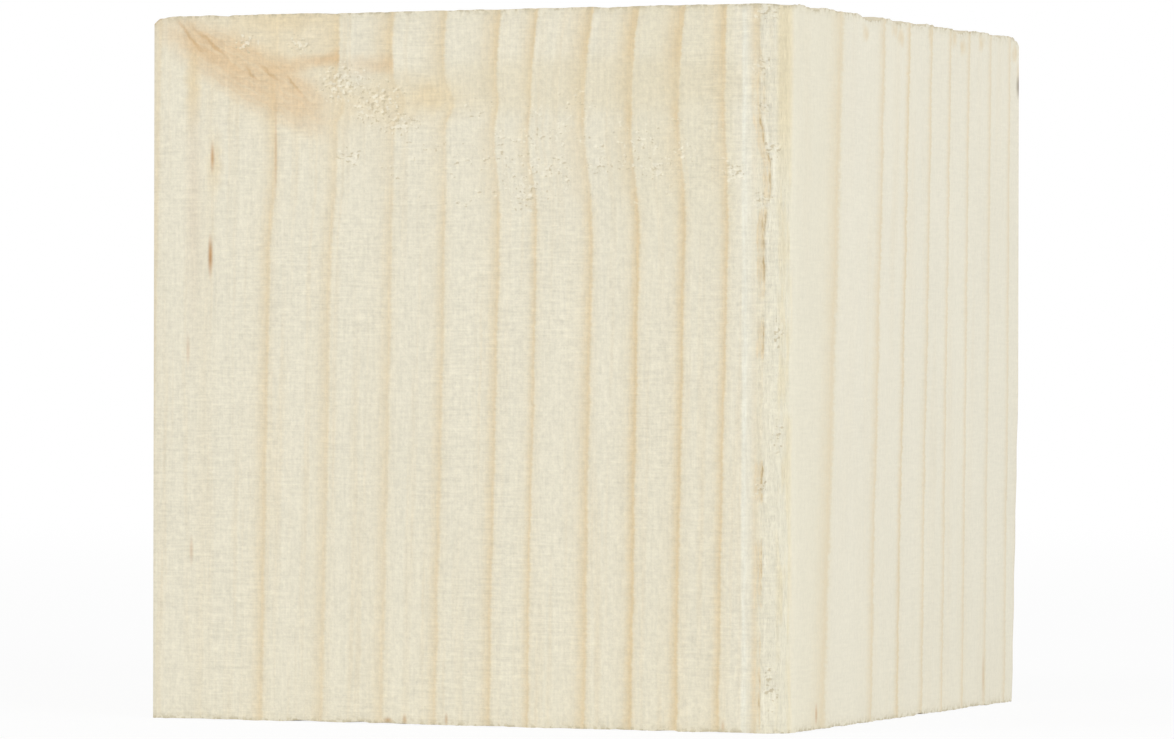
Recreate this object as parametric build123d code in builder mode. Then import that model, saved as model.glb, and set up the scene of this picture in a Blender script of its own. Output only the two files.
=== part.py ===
from build123d import *
import os

# A wooden cube: one length of planed square softwood, crosscut at both ends.
# Millimetres. The grain runs along Z, the front is -Y and the origin is the middle of the base.

# The stock, and the length that was cut from it
section_width = 48.5
section_depth = 48.5
cut_length = 50.0

# Long arrises: the front right one is rounded over, the other three are only eased
rounded_arris_radius = 2.2
eased_arris_radius = 0.3

# Fuzz rubbed off the edges of both sawn ends
sawn_edge_break = 0.15

# Worn back right arris: how far it reaches up from the base, and in from the corner at the base
worn_arris_height = 27.0
worn_arris_reach = 1.5

# Nicks that the saw left in the end edges: shallow scoops that rise and run out on the end
nick_span = 4.6
nick_drop = 0.32
nick_reach = 5.0

# Torn fibre along the rounded arris: boat-shaped hollows in one line, steep on the side away from the corner
tear_depth = 0.3
tear_width = 0.9
tear_from_corner = 2.1

# Each nick: its place along the edge, from left or from the front, and its size
top_front_nick_shares = ((0.0, 0.3), (0.115, 0.35), (0.29, 0.3), (0.72, 0.32))
top_right_nick_shares = (
    (0.335, 1.0), (0.447, 0.75), (0.547, 0.55), (0.62, 0.4), (0.72, 0.6), (0.9, 0.36), (1.0, 0.62),
)
top_back_nick_shares = ((0.24, 0.7), (0.61, 0.45), (0.8, 0.6))
top_left_nick_shares = ((0.37, 0.5), (0.74, 0.8))
base_front_nick_shares = ((0.244, 0.4), (0.337, 0.45), (0.372, 0.4), (0.82, 0.35))
base_right_nick_shares = ((0.2, 0.4), (0.55, 0.5), (1.0, 0.36))
base_back_nick_shares = ((0.33, 0.6), (0.52, 0.4))
base_left_nick_shares = ((0.28, 0.5), (0.66, 0.4))

# Each tear: the height of its middle, and its length along the grain
tear_shares = ((0.815, 0.17), (0.665, 0.115), (0.54, 0.06), (0.345, 0.06), (0.22, 0.1), (0.075, 0.13))

# How far a cutting shape passes the place where it leaves the wood
overrun_share = 1.1

right_side = section_width / 2
back_side = section_depth / 2
up = Vector(0, 0, 1)

# Each side of an end: its first and last corner, the way in from it, and its nicks at the top and the base
sides = (
    ((-1, -1), (1, -1), Vector(0, 1, 0), top_front_nick_shares, base_front_nick_shares),
    ((1, -1), (1, 1), Vector(-1, 0, 0), top_right_nick_shares, base_right_nick_shares),
    ((-1, 1), (1, 1), Vector(0, -1, 0), top_back_nick_shares, base_back_nick_shares),
    ((-1, -1), (-1, 1), Vector(1, 0, 0), top_left_nick_shares, base_left_nick_shares),
)


def corner(signs, height):
    """A corner of the block, from the signs of its X and Y."""
    return Vector(signs[0] * right_side, signs[1] * back_side, height)


def arc_radius(span, rise):
    """Radius of the arc that is this wide and this high."""
    return (span**2 / 4 + rise**2) / (2 * rise)


with BuildPart() as wooden_cube:
    # The squared stock, cut to length
    with BuildSketch():
        Rectangle(section_width, section_depth)
    extrude(amount=cut_length)

    # Long arrises, sorted along the diagonal that ends at the front right one
    to_front_right = Axis((0, 0, 0), (section_width, -section_depth, 0))
    front_right_arris = wooden_cube.edges().filter_by(Axis.Z).sort_by(to_front_right)[-1]
    fillet(front_right_arris, radius=rounded_arris_radius)
    other_arrises = wooden_cube.edges().filter_by(Axis.Z).sort_by(to_front_right)[:3]
    fillet(other_arrises, radius=eased_arris_radius)

    # Sawn ends
    sawn_ends = wooden_cube.faces().filter_by(Axis.Z)
    chamfer(sawn_ends.edges(), length=sawn_edge_break)

    # The worn arris is a slant that starts part way up and is deepest at the base
    worn_top = corner((1, 1), worn_arris_height)
    worn_slant = Plane(origin=worn_top, z_dir=(worn_arris_height, worn_arris_height, -worn_arris_reach))
    split(bisect_by=worn_slant, keep=Keep.BOTTOM)

    # Nicks: a round cutter that tilts up out of the end as it goes in from the edge
    for first, last, inward, top_shares, base_shares in sides:
        for height, out, nick_shares in ((cut_length, up, top_shares), (0, -up, base_shares)):
            for place_share, size_share in nick_shares:
                drop = nick_drop * size_share
                cutter_axis = inward * (nick_reach * size_share) + out * drop
                cutter_radius = arc_radius(nick_span * size_share, drop)
                on_edge = corner(first, height) + (corner(last, height) - corner(first, height)) * place_share
                with Locations(Plane(origin=on_edge + out * (cutter_radius - drop), z_dir=cutter_axis)):
                    Cylinder(cutter_radius, 2 * cutter_axis.length * overrun_share, mode=Mode.SUBTRACT)

    # Tears: the rim of a wide bevelled disc that dips into the front face, its flat side away from the corner
    for height_share, length_share in tear_shares:
        disc_radius = arc_radius(cut_length * length_share, tear_depth)
        tear_start = Vector(right_side - tear_from_corner, -back_side, cut_length * height_share)
        disc_middle = tear_start + Vector(0, tear_depth - disc_radius, 0)
        with Locations(Plane(origin=disc_middle, z_dir=(1, 0, 0))):
            Cone(
                disc_radius,
                disc_radius - tear_depth,
                tear_width,
                align=(Align.CENTER, Align.CENTER, Align.MIN),
                mode=Mode.SUBTRACT,
            )

wooden_cube.part.label = "wooden_cube"

os.makedirs("parts", exist_ok=True)
export_step(wooden_cube.part, "parts/wooden_cube.step")
print("volume in cubic centimetres:", round(wooden_cube.part.volume / 1000, 2))
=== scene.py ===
# %% [markdown]
# # A wooden cube
# The object is one length of planed softwood, crosscut at both ends. It has a single piece, so the whole
# lesson is about that piece: its four planed sides, its two sawn ends, the torn arris nearest to the
# camera, and the grain, which has to run through all six faces as it does in a real tree.
#
# The frame below holds the plain solid. It gives the size and the place, and the dressed piece replaces it.

# %% Load the frame
import math

import bmesh
import bpy
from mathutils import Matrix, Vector, noise


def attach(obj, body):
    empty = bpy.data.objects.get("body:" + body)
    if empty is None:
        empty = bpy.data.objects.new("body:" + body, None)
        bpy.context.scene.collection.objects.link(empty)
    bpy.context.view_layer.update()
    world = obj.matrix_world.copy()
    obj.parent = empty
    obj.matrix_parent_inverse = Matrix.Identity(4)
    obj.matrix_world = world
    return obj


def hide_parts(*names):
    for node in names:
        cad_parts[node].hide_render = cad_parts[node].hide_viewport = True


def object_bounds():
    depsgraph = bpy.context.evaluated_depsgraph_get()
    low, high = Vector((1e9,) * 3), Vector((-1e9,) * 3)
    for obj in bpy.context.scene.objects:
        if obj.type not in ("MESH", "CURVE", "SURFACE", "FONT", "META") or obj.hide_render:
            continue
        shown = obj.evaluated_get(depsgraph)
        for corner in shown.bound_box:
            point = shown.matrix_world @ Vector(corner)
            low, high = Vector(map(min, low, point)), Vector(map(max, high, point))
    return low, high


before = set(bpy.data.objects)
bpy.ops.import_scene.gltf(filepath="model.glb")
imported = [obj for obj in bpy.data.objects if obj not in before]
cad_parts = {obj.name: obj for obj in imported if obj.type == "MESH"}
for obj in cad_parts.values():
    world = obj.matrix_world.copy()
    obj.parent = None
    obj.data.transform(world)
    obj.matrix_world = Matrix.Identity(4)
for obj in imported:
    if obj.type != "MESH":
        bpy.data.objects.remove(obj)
cad_low, cad_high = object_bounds()

MM = 0.001
WIDTH, DEPTH, LENGTH = (side / MM for side in cad_high - cad_low)
RIGHT = WIDTH / 2
BACK = DEPTH / 2
print(f"stock {WIDTH:.1f} x {DEPTH:.1f} mm, cut {LENGTH:.1f} mm long")

# %% [markdown]
# ## The planed section
# A planer makes the section and a saw makes the length, so the mesh is made in the same order. The outline
# could be typed as a list of points, but a square with its corners bevelled stays exact: one corner is
# rounded over and the other three are only eased. Everything is worked in millimetres until the end.
#
# The columns of the mesh start here. They stand closest beside the torn arris, where the fibres need
# them, and widest on the two sides that face away.

# %% Planed section
ROUNDED_ARRIS = 2.2
ROUNDED_SEGMENTS = 22
EASED_ARRIS = 0.3
EASED_SEGMENTS = 5
TORN_ZONE = 5.0
TORN_SPACING = 0.17
SHOWN_SPACING = 0.27
HIDDEN_SPACING = 0.4
SAME_PLACE = 1e-5


def near_torn_arris(x, y):
    return x > RIGHT - TORN_ZONE and y < TORN_ZONE - BACK


def column_spacing(middle):
    """How far apart the columns stand on the straight edge with this middle."""
    if near_torn_arris(middle.x, middle.y):
        return TORN_SPACING
    shown = middle.y < EASED_ARRIS - BACK or middle.x > RIGHT - EASED_ARRIS
    return SHOWN_SPACING if shown else HIDDEN_SPACING


def round_corners(bm, corners, radius, segments):
    bmesh.ops.bevel(
        bm, geom=corners, offset=radius, offset_type="OFFSET", segments=segments,
        profile=0.5, affect="VERTICES", material=-1, clamp_overlap=False,
    )


def planed_section():
    """A loop of edges: the block's outline at its base."""
    bm = bmesh.new()
    bmesh.ops.create_grid(bm, x_segments=1, y_segments=1, size=1)
    bmesh.ops.scale(bm, vec=(RIGHT, BACK, 1), verts=bm.verts)
    *eased, rounded = sorted(bm.verts, key=lambda v: v.co.x - v.co.y)
    round_corners(bm, eased, EASED_ARRIS, EASED_SEGMENTS)
    round_corners(bm, [rounded], ROUNDED_ARRIS, ROUNDED_SEGMENTS)
    bmesh.ops.delete(bm, geom=bm.faces[:], context="FACES_ONLY")
    for cut_at, across in (((RIGHT - TORN_ZONE, 0, 0), (1, 0, 0)), ((0, TORN_ZONE - BACK, 0), (0, 1, 0))):
        outline = bm.verts[:] + bm.edges[:]
        bmesh.ops.bisect_plane(bm, geom=outline, dist=SAME_PLACE, plane_co=cut_at, plane_no=across)
    for edge in bm.edges[:]:
        middle = (edge.verts[0].co + edge.verts[1].co) / 2
        cuts = round(edge.calc_length() / column_spacing(middle)) - 1
        if cuts > 0:
            bmesh.ops.subdivide_edges(bm, edges=[edge], cuts=cuts)
    return bm


cube = planed_section()
print("columns round the section:", len(cube.verts))

# %% [markdown]
# ## Cut to length
# The outline is extruded upwards row by row. Rows are thin near both ends, because the saw leaves ragged
# edges there, and taller along the middle, where the grain runs straight. Each end is then closed with the
# same outline drawn in towards the middle, so the ragged edge also reaches a little way into the end.

# %% Cut to length
END_ROWS = (0.07, 0.08, 0.1, 0.14, 0.2, 0.28, 0.38)
MIDDLE_ROW = 0.56
END_RING_SHARES = (0.997, 0.993, 0.986, 0.975, 0.957, 0.93, 0.89, 0.8, 0.64, 0.42, 0.16)
SIDE_GRAIN, END_GRAIN = 0, 1


def extruded(bm, loop):
    """Extrudes a loop of edges in place and gives the new vertices and the new loop."""
    made = bmesh.ops.extrude_edge_only(bm, edges=loop)["geom"]
    verts = {part for part in made if isinstance(part, bmesh.types.BMVert)}
    edges = [part for part in made if isinstance(part, bmesh.types.BMEdge)]
    return list(verts), [edge for edge in edges if verts.issuperset(edge.verts)]


def close_end(bm, loop):
    """Draws the outline in, ring by ring, and closes the last one."""
    drawn_in = 1
    for share in END_RING_SHARES:
        before = set(bm.faces)
        verts, loop = extruded(bm, loop)
        bmesh.ops.scale(bm, vec=(share / drawn_in, share / drawn_in, 1), verts=verts)
        drawn_in = share
        for face in set(bm.faces) - before:
            face.material_index = END_GRAIN
    for face in bmesh.ops.contextual_create(bm, geom=loop, mat_nr=END_GRAIN)["faces"]:
        face.material_index = END_GRAIN


middle_length = LENGTH - 2 * sum(END_ROWS)
middle_rows = round(middle_length / MIDDLE_ROW)
row_steps = (*END_ROWS, *[middle_length / middle_rows] * middle_rows, *END_ROWS[::-1])

base_loop = cube.edges[:]
top_loop = base_loop
for step in row_steps:
    risen, top_loop = extruded(cube, top_loop)
    bmesh.ops.translate(cube, vec=(0, 0, step), verts=risen)
close_end(cube, base_loop)
close_end(cube, top_loop)
bmesh.ops.recalc_face_normals(cube, faces=cube.faces)
print("rows:", len(row_steps), "faces:", len(cube.faces))

# %% [markdown]
# ## Room for detail
# Torn fibres are a tenth of a millimetre wide. Dividing the whole block that finely would take millions of
# faces, so only the strip along the torn arris and the few places where the planer pulled fibres out of the
# front are divided again. The operator keeps the seams with the coarser faces closed.

# %% Finer patches
# The strip that is divided, as distances round the arris
TORN_START = -0.5
TORN_END = 2.9
# Patches of the front where fibres were pulled out: middle and half size, along X and Z
PULLED_PATCHES = (
    ((-16.9, 47.9), (1.0, 0.7)), ((-12.6, 47.8), (1.0, 0.8)), ((-9.3, 45.0), (2.3, 1.5)),
    ((-6.6, 43.5), (2.3, 1.7)), ((-4.9, 42.1), (1.7, 1.0)), ((-8.7, 39.8), (1.1, 0.8)),
    ((4.7, 37.0), (1.1, 1.4)), ((10.4, 39.0), (0.9, 0.6)), ((14.5, 38.7), (0.8, 0.7)),
    ((20.4, 38.5), (1.2, 0.8)),
)


def round_arris_distance(x, y):
    """Distance round the outline from the start of the rounded arris, towards the right side."""
    across = x - (RIGHT - ROUNDED_ARRIS)
    inward = (ROUNDED_ARRIS - BACK) - y
    if inward <= 0:
        return ROUNDED_ARRIS * math.pi / 2 - inward
    if across <= 0:
        return across
    return ROUNDED_ARRIS * math.atan2(across, inward)


def in_torn_strip(face):
    x, y, _ = face.calc_center_median()
    return near_torn_arris(x, y) and TORN_START < round_arris_distance(x, y) < TORN_END


def patch_share(x, y, z, patch):
    """1 in the middle of a pulled patch, 0 at its rim and off the front."""
    (middle_x, middle_z), (half_x, half_z) = patch
    reach = math.hypot((x - middle_x) / half_x, (z - middle_z) / half_z)
    return max(0, 1 - reach) if y < EASED_ARRIS / 2 - BACK else 0


def in_pulled_patch(face):
    middle = face.calc_center_median()
    return any(patch_share(*middle, patch) > 0 for patch in PULLED_PATCHES)


def divide(bm, chosen, cuts):
    sides = [face for face in bm.faces if face.material_index == SIDE_GRAIN]
    edges = {edge for face in sides if chosen(face) for edge in face.edges}
    bmesh.ops.subdivide_edges(bm, edges=list(edges), cuts=cuts, use_grid_fill=True)
    print("edges divided:", len(edges))


divide(cube, in_torn_strip, 1)
divide(cube, in_pulled_patch, 2)

# %% [markdown]
# ## What the saw did
# A crosscut leaves the end flat but nibbles its edges. Here the end's height is a formula: it loses a dish
# at every nick, a little at each top corner, and a fuzz of noise that dies out away from the edge. The nicks
# stand where the solid has them, and at the base they are half as deep, which is closer to the photograph.
# Rows of vertices near the end are squeezed to fit under the new height, so the side and the end still meet.

# %% Sawn ends
NICK_SPAN = 4.6
NICK_DROP = 0.32
NICK_REACH = 5.0
BASE_NICK_SHARE = 0.5
# Each side of an end: the way in from it, how ragged its edge is at the top and the base, and its nicks
# there, as their place along the side and their size
SAWN_SIDES = {
    "front": ((0, 1), 0.055, 0.06,
              ((0.0, 0.3), (0.115, 0.35), (0.29, 0.3), (0.72, 0.32)),
              ((0.244, 0.4), (0.337, 0.45), (0.372, 0.4), (0.82, 0.35))),
    "right": ((-1, 0), 0.16, 0.08,
              ((0.335, 1.0), (0.447, 0.75), (0.547, 0.55), (0.62, 0.4), (0.72, 0.6), (0.9, 0.36),
               (1.0, 0.62)),
              ((0.2, 0.4), (0.55, 0.5), (1.0, 0.36))),
    "back": ((0, -1), 0.1, 0.08,
             ((0.24, 0.7), (0.61, 0.45), (0.8, 0.6)),
             ((0.33, 0.6), (0.52, 0.4))),
    "left": ((1, 0), 0.08, 0.08,
             ((0.37, 0.5), (0.74, 0.8)),
             ((0.28, 0.5), (0.66, 0.4))),
}
CORNER_WEAR = 0.5
CORNER_REACH = 0.6
CORNER_POWER = 1.5
# Fuzz of two sizes: lumps a millimetre, how much of the noise stands up, and how far in it reaches
COARSE_FUZZ = (0.55, 0.35, 2.2)
FINE_FUZZ = (2.1, 0.3, 0.5)
# Height in the noise at which each end takes its fuzz, and the step from coarse to fine
TOP_LEVEL, BASE_LEVEL, FINE_STEP = 7.3, 2.1, 3
SQUEEZED = 1.25


def noise_at(x, y, z):
    return noise.noise(Vector((x, y, z)))


def place_on_side(x, y, inward):
    """Share along the side of an end, the side's length, and the distance in from it."""
    if inward[0]:
        return (y + BACK) / DEPTH, DEPTH, RIGHT + inward[0] * x
    return (x + RIGHT) / WIDTH, WIDTH, BACK + inward[1] * y


def fuzz_at(x, y, level, depth, fuzz):
    """Height of one size of fuzz, this deep into the end."""
    per_mm, standing, reach = fuzz
    return max(0, standing + noise_at(x * per_mm, y * per_mm, level)) * math.exp(-depth / reach)


def end_loss(x, y, at_top):
    """How far below a perfect cut the end is here."""
    nick = 0
    fuzz = 0
    level = TOP_LEVEL if at_top else BASE_LEVEL
    drop = NICK_DROP if at_top else NICK_DROP * BASE_NICK_SHARE
    for inward, top_fuzz, base_fuzz, top_nicks, base_nicks in SAWN_SIDES.values():
        share, side_length, depth = place_on_side(x, y, inward)
        for nick_share, size in top_nicks if at_top else base_nicks:
            along = 2 * (share - nick_share) * side_length / (NICK_SPAN * size)
            nick = max(nick, drop * size * (1 - along**2 - depth / (NICK_REACH * size)))
        ragged = fuzz_at(x, y, level, depth, COARSE_FUZZ) + fuzz_at(x, y, level + FINE_STEP, depth, FINE_FUZZ)
        fuzz = max(fuzz, (top_fuzz if at_top else base_fuzz) * ragged)
    from_corner = math.hypot(RIGHT - abs(x), BACK - abs(y))
    corner = CORNER_WEAR * math.exp(-((from_corner / CORNER_REACH) ** CORNER_POWER)) if at_top else 0
    return nick + fuzz + corner


def sawn_height(x, y, z):
    """Height of a point once the ends are sawn."""
    if z > LENGTH - SQUEEZED:
        start = LENGTH - SQUEEZED
        return start + (z - start) * (1 - end_loss(x, y, True) / SQUEEZED)
    if z < SQUEEZED:
        return SQUEEZED - (SQUEEZED - z) * (1 - end_loss(x, y, False) / SQUEEZED)
    return z


_, _, _, top_right_nicks, _ = SAWN_SIDES["right"]
largest_share, _ = top_right_nicks[0]
print(f"deepest nick at the top right: {end_loss(RIGHT, largest_share * DEPTH - BACK, True):.2f} mm")

# %% [markdown]
# ## What tore
# Along the rounded arris the plane ran against the grain and lifted the fibres. The damage is one wandering
# split, open in seven short runs along the line of the solid's six tears, with rough fibre beside it. The
# split is steep on its left, where a band of fibre has peeled off, and ramped on its right, where a lip has
# lifted. It could be a bump texture, but it is deep enough to show in the outline and in the mesh itself, so
# the vertices move. What happened is also kept on each vertex, because torn fibre has other colours.
# The split's colours are partly torn fibre and partly painted shade in the split and a painted highlight on
# the lip.

# %% Torn fibre
SPLIT_DEPTH = 0.2
SPLIT_STEEP_SIDE = 0.16
SPLIT_RAMP_SIDE = 0.32
SPLIT_CORE = 0.13
CORE_LOOK = 0.55
PEELED_WIDTH = 0.5
PEELED_EDGE = 0.1
PEELED_OVERLAP = 0.12
PEELED_LOOK = 0.45
LIP_PLACE = 0.26
LIP_WIDTH = 0.13
LIP_HEIGHT = 0.06
# Each run of the split: the height of its middle and its length, as shares of the block's length, and how
# open it is
SPLIT_RUNS = (
    (0.83, 0.16, 0.7), (0.763, 0.08, 1.0), (0.67, 0.16, 0.9), (0.54, 0.06, 1.0), (0.345, 0.06, 0.9),
    (0.22, 0.1, 0.7), (0.07, 0.14, 0.6),
)
LEAST_OPEN = 0.12
# How evenly it opens: the mean, the swing, the place in the noise, and lumps a millimetre
OPEN_MEAN, OPEN_SWING, OPEN_PLACE, OPEN_PER_MM = 0.75, 0.6, 3.3, 1.2
# The split's wandering line from the base up: height, and distance round the arris
SPLIT_LINE = (
    (0, 0.25), (2.3, 0.2), (6.4, 0.25), (16, 0.35), (26.6, 0.42), (30.7, 0.5), (34.2, 0.42), (35.9, 0.66),
    (36.9, 0.9), (39.1, 0.92), (40.2, 0.5), (43, 0.05), (50, 0.1),
)
# How the line trembles: amount, place in the noise, and lumps a millimetre
SPLIT_JITTERS = ((0.06, 9.1, 1.3), (0.05, 2.7, 3.4))
# Rough fibre: where it starts and ends round the arris, how far that end wanders, and its depths
ROUGH_START = (-0.3, 0.0)
ROUGH_END = (1.7, 2.5)
ROUGH_END_WANDERS = 0.35
ROUGH_LEAST = 0.02
ROUGH_FIBRE = 0.06
# Pits of the pulled patches: depth, how soon they start at a patch's rim, the share of flecks in them, and
# the level of the noise above which there is a pit
PIT_DEPTH, PIT_RIM, PIT_FLECK_SHARE, PIT_LEVEL = 0.16, 2.5, 0.8, 0.12
PIT_TURN = 0.7
# Noises of the fibre: place in the noise, and lumps a millimetre across and along the grain
END_WANDER = (4.2, 0, 0.3)
LONG_FIBRE = (1.7, 2.6, 0.3)
SHORT_FIBRE = (6.1, 6.5, 1.1)
SLANTED_PITS = (5.5, 1.6, 3.2)
PIT_FLECKS = (8.5, 4.6, 3.6)


def smooth_step(low, high, value):
    share = min(max((value - low) / (high - low), 0), 1)
    return share * share * (3 - 2 * share)


def split_place(z):
    """Where the split runs at this height, as a distance round the arris."""
    for (low, start), (high, end) in zip(SPLIT_LINE, SPLIT_LINE[1:]):
        if z <= high:
            break
    jitter = sum(amount * noise_at(0, place, z * per_mm) for amount, place, per_mm in SPLIT_JITTERS)
    return start + (end - start) * (z - low) / (high - low) + jitter


def split_strength(z):
    """How open the split is at this height, from 0 to 1."""
    strength = LEAST_OPEN
    for height_share, length_share, open_share in SPLIT_RUNS:
        offset = (z - height_share * LENGTH) / (length_share * LENGTH / 2)
        strength = max(strength, open_share * math.sqrt(max(0, 1 - offset**2)))
    return strength * (OPEN_MEAN + OPEN_SWING * noise_at(OPEN_PLACE, 0, z * OPEN_PER_MM))


def fibre_noise(across, along, fibre):
    place, across_per_mm, along_per_mm = fibre
    return noise_at(across * across_per_mm, place, along * along_per_mm)


def rough_fibre_depth(round_it, z):
    """Depth of the rough fibre beside the split."""
    wander = ROUGH_END_WANDERS * fibre_noise(round_it, z, END_WANDER)
    strip = smooth_step(*ROUGH_START, round_it) * (1 - smooth_step(*ROUGH_END, round_it + wander))
    rough = ROUGH_LEAST
    for fibre in (LONG_FIBRE, SHORT_FIBRE):
        rough += ROUGH_FIBRE * max(0, fibre_noise(round_it, z, fibre))
    return strip * rough


def torn_shape(x, y, z):
    """Depth of the torn fibre below the rounded arris, and its look.

    The look is 1 in the split, about a half on the peeled fibre to its left and -1 on the lip at its right.
    In the colours, the split is partly painted shade and the lip a painted highlight.
    """
    round_it = round_arris_distance(x, y)
    from_split = round_it - split_place(z)
    opening = split_strength(z)
    reach = SPLIT_RAMP_SIDE if from_split > 0 else SPLIT_STEEP_SIDE
    groove = max(0, 1 - abs(from_split) / reach)
    core = max(0, 1 - abs(from_split) / SPLIT_CORE)
    peeled = smooth_step(-PEELED_WIDTH - PEELED_EDGE, PEELED_EDGE - PEELED_WIDTH, from_split)
    peeled *= 1 - smooth_step(0, PEELED_OVERLAP, from_split)
    lip = math.exp(-(((from_split - LIP_PLACE) / LIP_WIDTH) ** 2))
    look = opening * (PEELED_LOOK * peeled + CORE_LOOK * core - lip)
    return rough_fibre_depth(round_it, z) + opening * (SPLIT_DEPTH * groove - LIP_HEIGHT * lip), look


def pulled_depth(x, y, z):
    """Depth of the pits where the planer pulled fibres out of the front."""
    share = max(patch_share(x, y, z, patch) for patch in PULLED_PATCHES)
    if share == 0:
        return 0
    pits = fibre_noise((x - z) * PIT_TURN, (x + z) * PIT_TURN, SLANTED_PITS)
    pits += PIT_FLECK_SHARE * fibre_noise(x, z, PIT_FLECKS)
    return PIT_DEPTH * min(1, PIT_RIM * share) * max(0, pits - PIT_LEVEL)


print(f"split at mid height: {split_place(LENGTH / 2):.2f} mm round the arris")

# %% [markdown]
# ## Move the vertices
# Each vertex of the sides goes in along the outline's own normal, then up or down to the sawn height. The
# back right arris is also worn to a slant near the base: a vertex outside that plane is set onto it. Two
# attributes go with the mesh for the materials: the look of the split, which also places painted shade in the
# split and a painted highlight on its lip, and how near the sawn rim is, where the side grain paints shade.

# %% Shape the block
WORN_HEIGHT = 27.0
WORN_REACH = 1.5
RIM_HEIGHT = 0.2
SHARP_ANGLE = math.radians(40)
worn_corner = Vector((RIGHT, BACK, WORN_HEIGHT))
worn_normal = Vector((WORN_HEIGHT, WORN_HEIGHT, -WORN_REACH)).normalized()


def outward(x, y):
    """The way out of the section at a point of its outline."""
    for side_x in (-1, 1):
        for side_y in (-1, 1):
            radius = ROUNDED_ARRIS if (side_x, side_y) == (1, -1) else EASED_ARRIS
            away = Vector((x - side_x * (RIGHT - radius), y - side_y * (BACK - radius), 0))
            if away.x * side_x > 0 and away.y * side_y > 0:
                return away.normalized()
    if RIGHT - abs(x) < BACK - abs(y):
        return Vector((math.copysign(1, x), 0, 0))
    return Vector((0, math.copysign(1, y), 0))


def shape_vertices(bm):
    split = bm.verts.layers.float.new("split")
    rim = bm.verts.layers.float.new("rim")
    for vert in bm.verts:
        x, y, z = vert.co
        depth = 0
        on_side = any(face.material_index == SIDE_GRAIN for face in vert.link_faces)
        if on_side and near_torn_arris(x, y):
            depth, vert[split] = torn_shape(x, y, z)
        if on_side:
            depth += pulled_depth(x, y, z)
            vert.co -= outward(x, y) * depth
            vert[rim] = math.exp(-min(z, LENGTH - z) / RIM_HEIGHT)
        vert.co.z = sawn_height(x, y, z)
        proud = (vert.co - worn_corner).dot(worn_normal)
        if proud > 0:
            vert.co -= worn_normal * proud


shape_vertices(cube)
bmesh.ops.scale(cube, vec=(MM, MM, MM), verts=cube.verts)
cube_mesh = bpy.data.meshes.new("softwood_cube")
cube.to_mesh(cube_mesh)
cube.free()
cube_mesh.shade_smooth()
cube_mesh.set_sharp_from_angle(angle=SHARP_ANGLE)
softwood_cube = bpy.data.objects.new("softwood_cube", cube_mesh)
bpy.context.collection.objects.link(softwood_cube)
print("triangles:", sum(len(face.vertices) - 2 for face in cube_mesh.polygons))

# %% [markdown]
# ## A bench for nodes
# The grain needs a few hundred nodes. A small helper class keeps the wiring readable: a value that is handed
# to it can be a number, a colour or the output of another node.

# %% Node helper
NODES_IN_COLUMN = 6
NODE_WIDTH = 190
NODE_HEIGHT = 170


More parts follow.
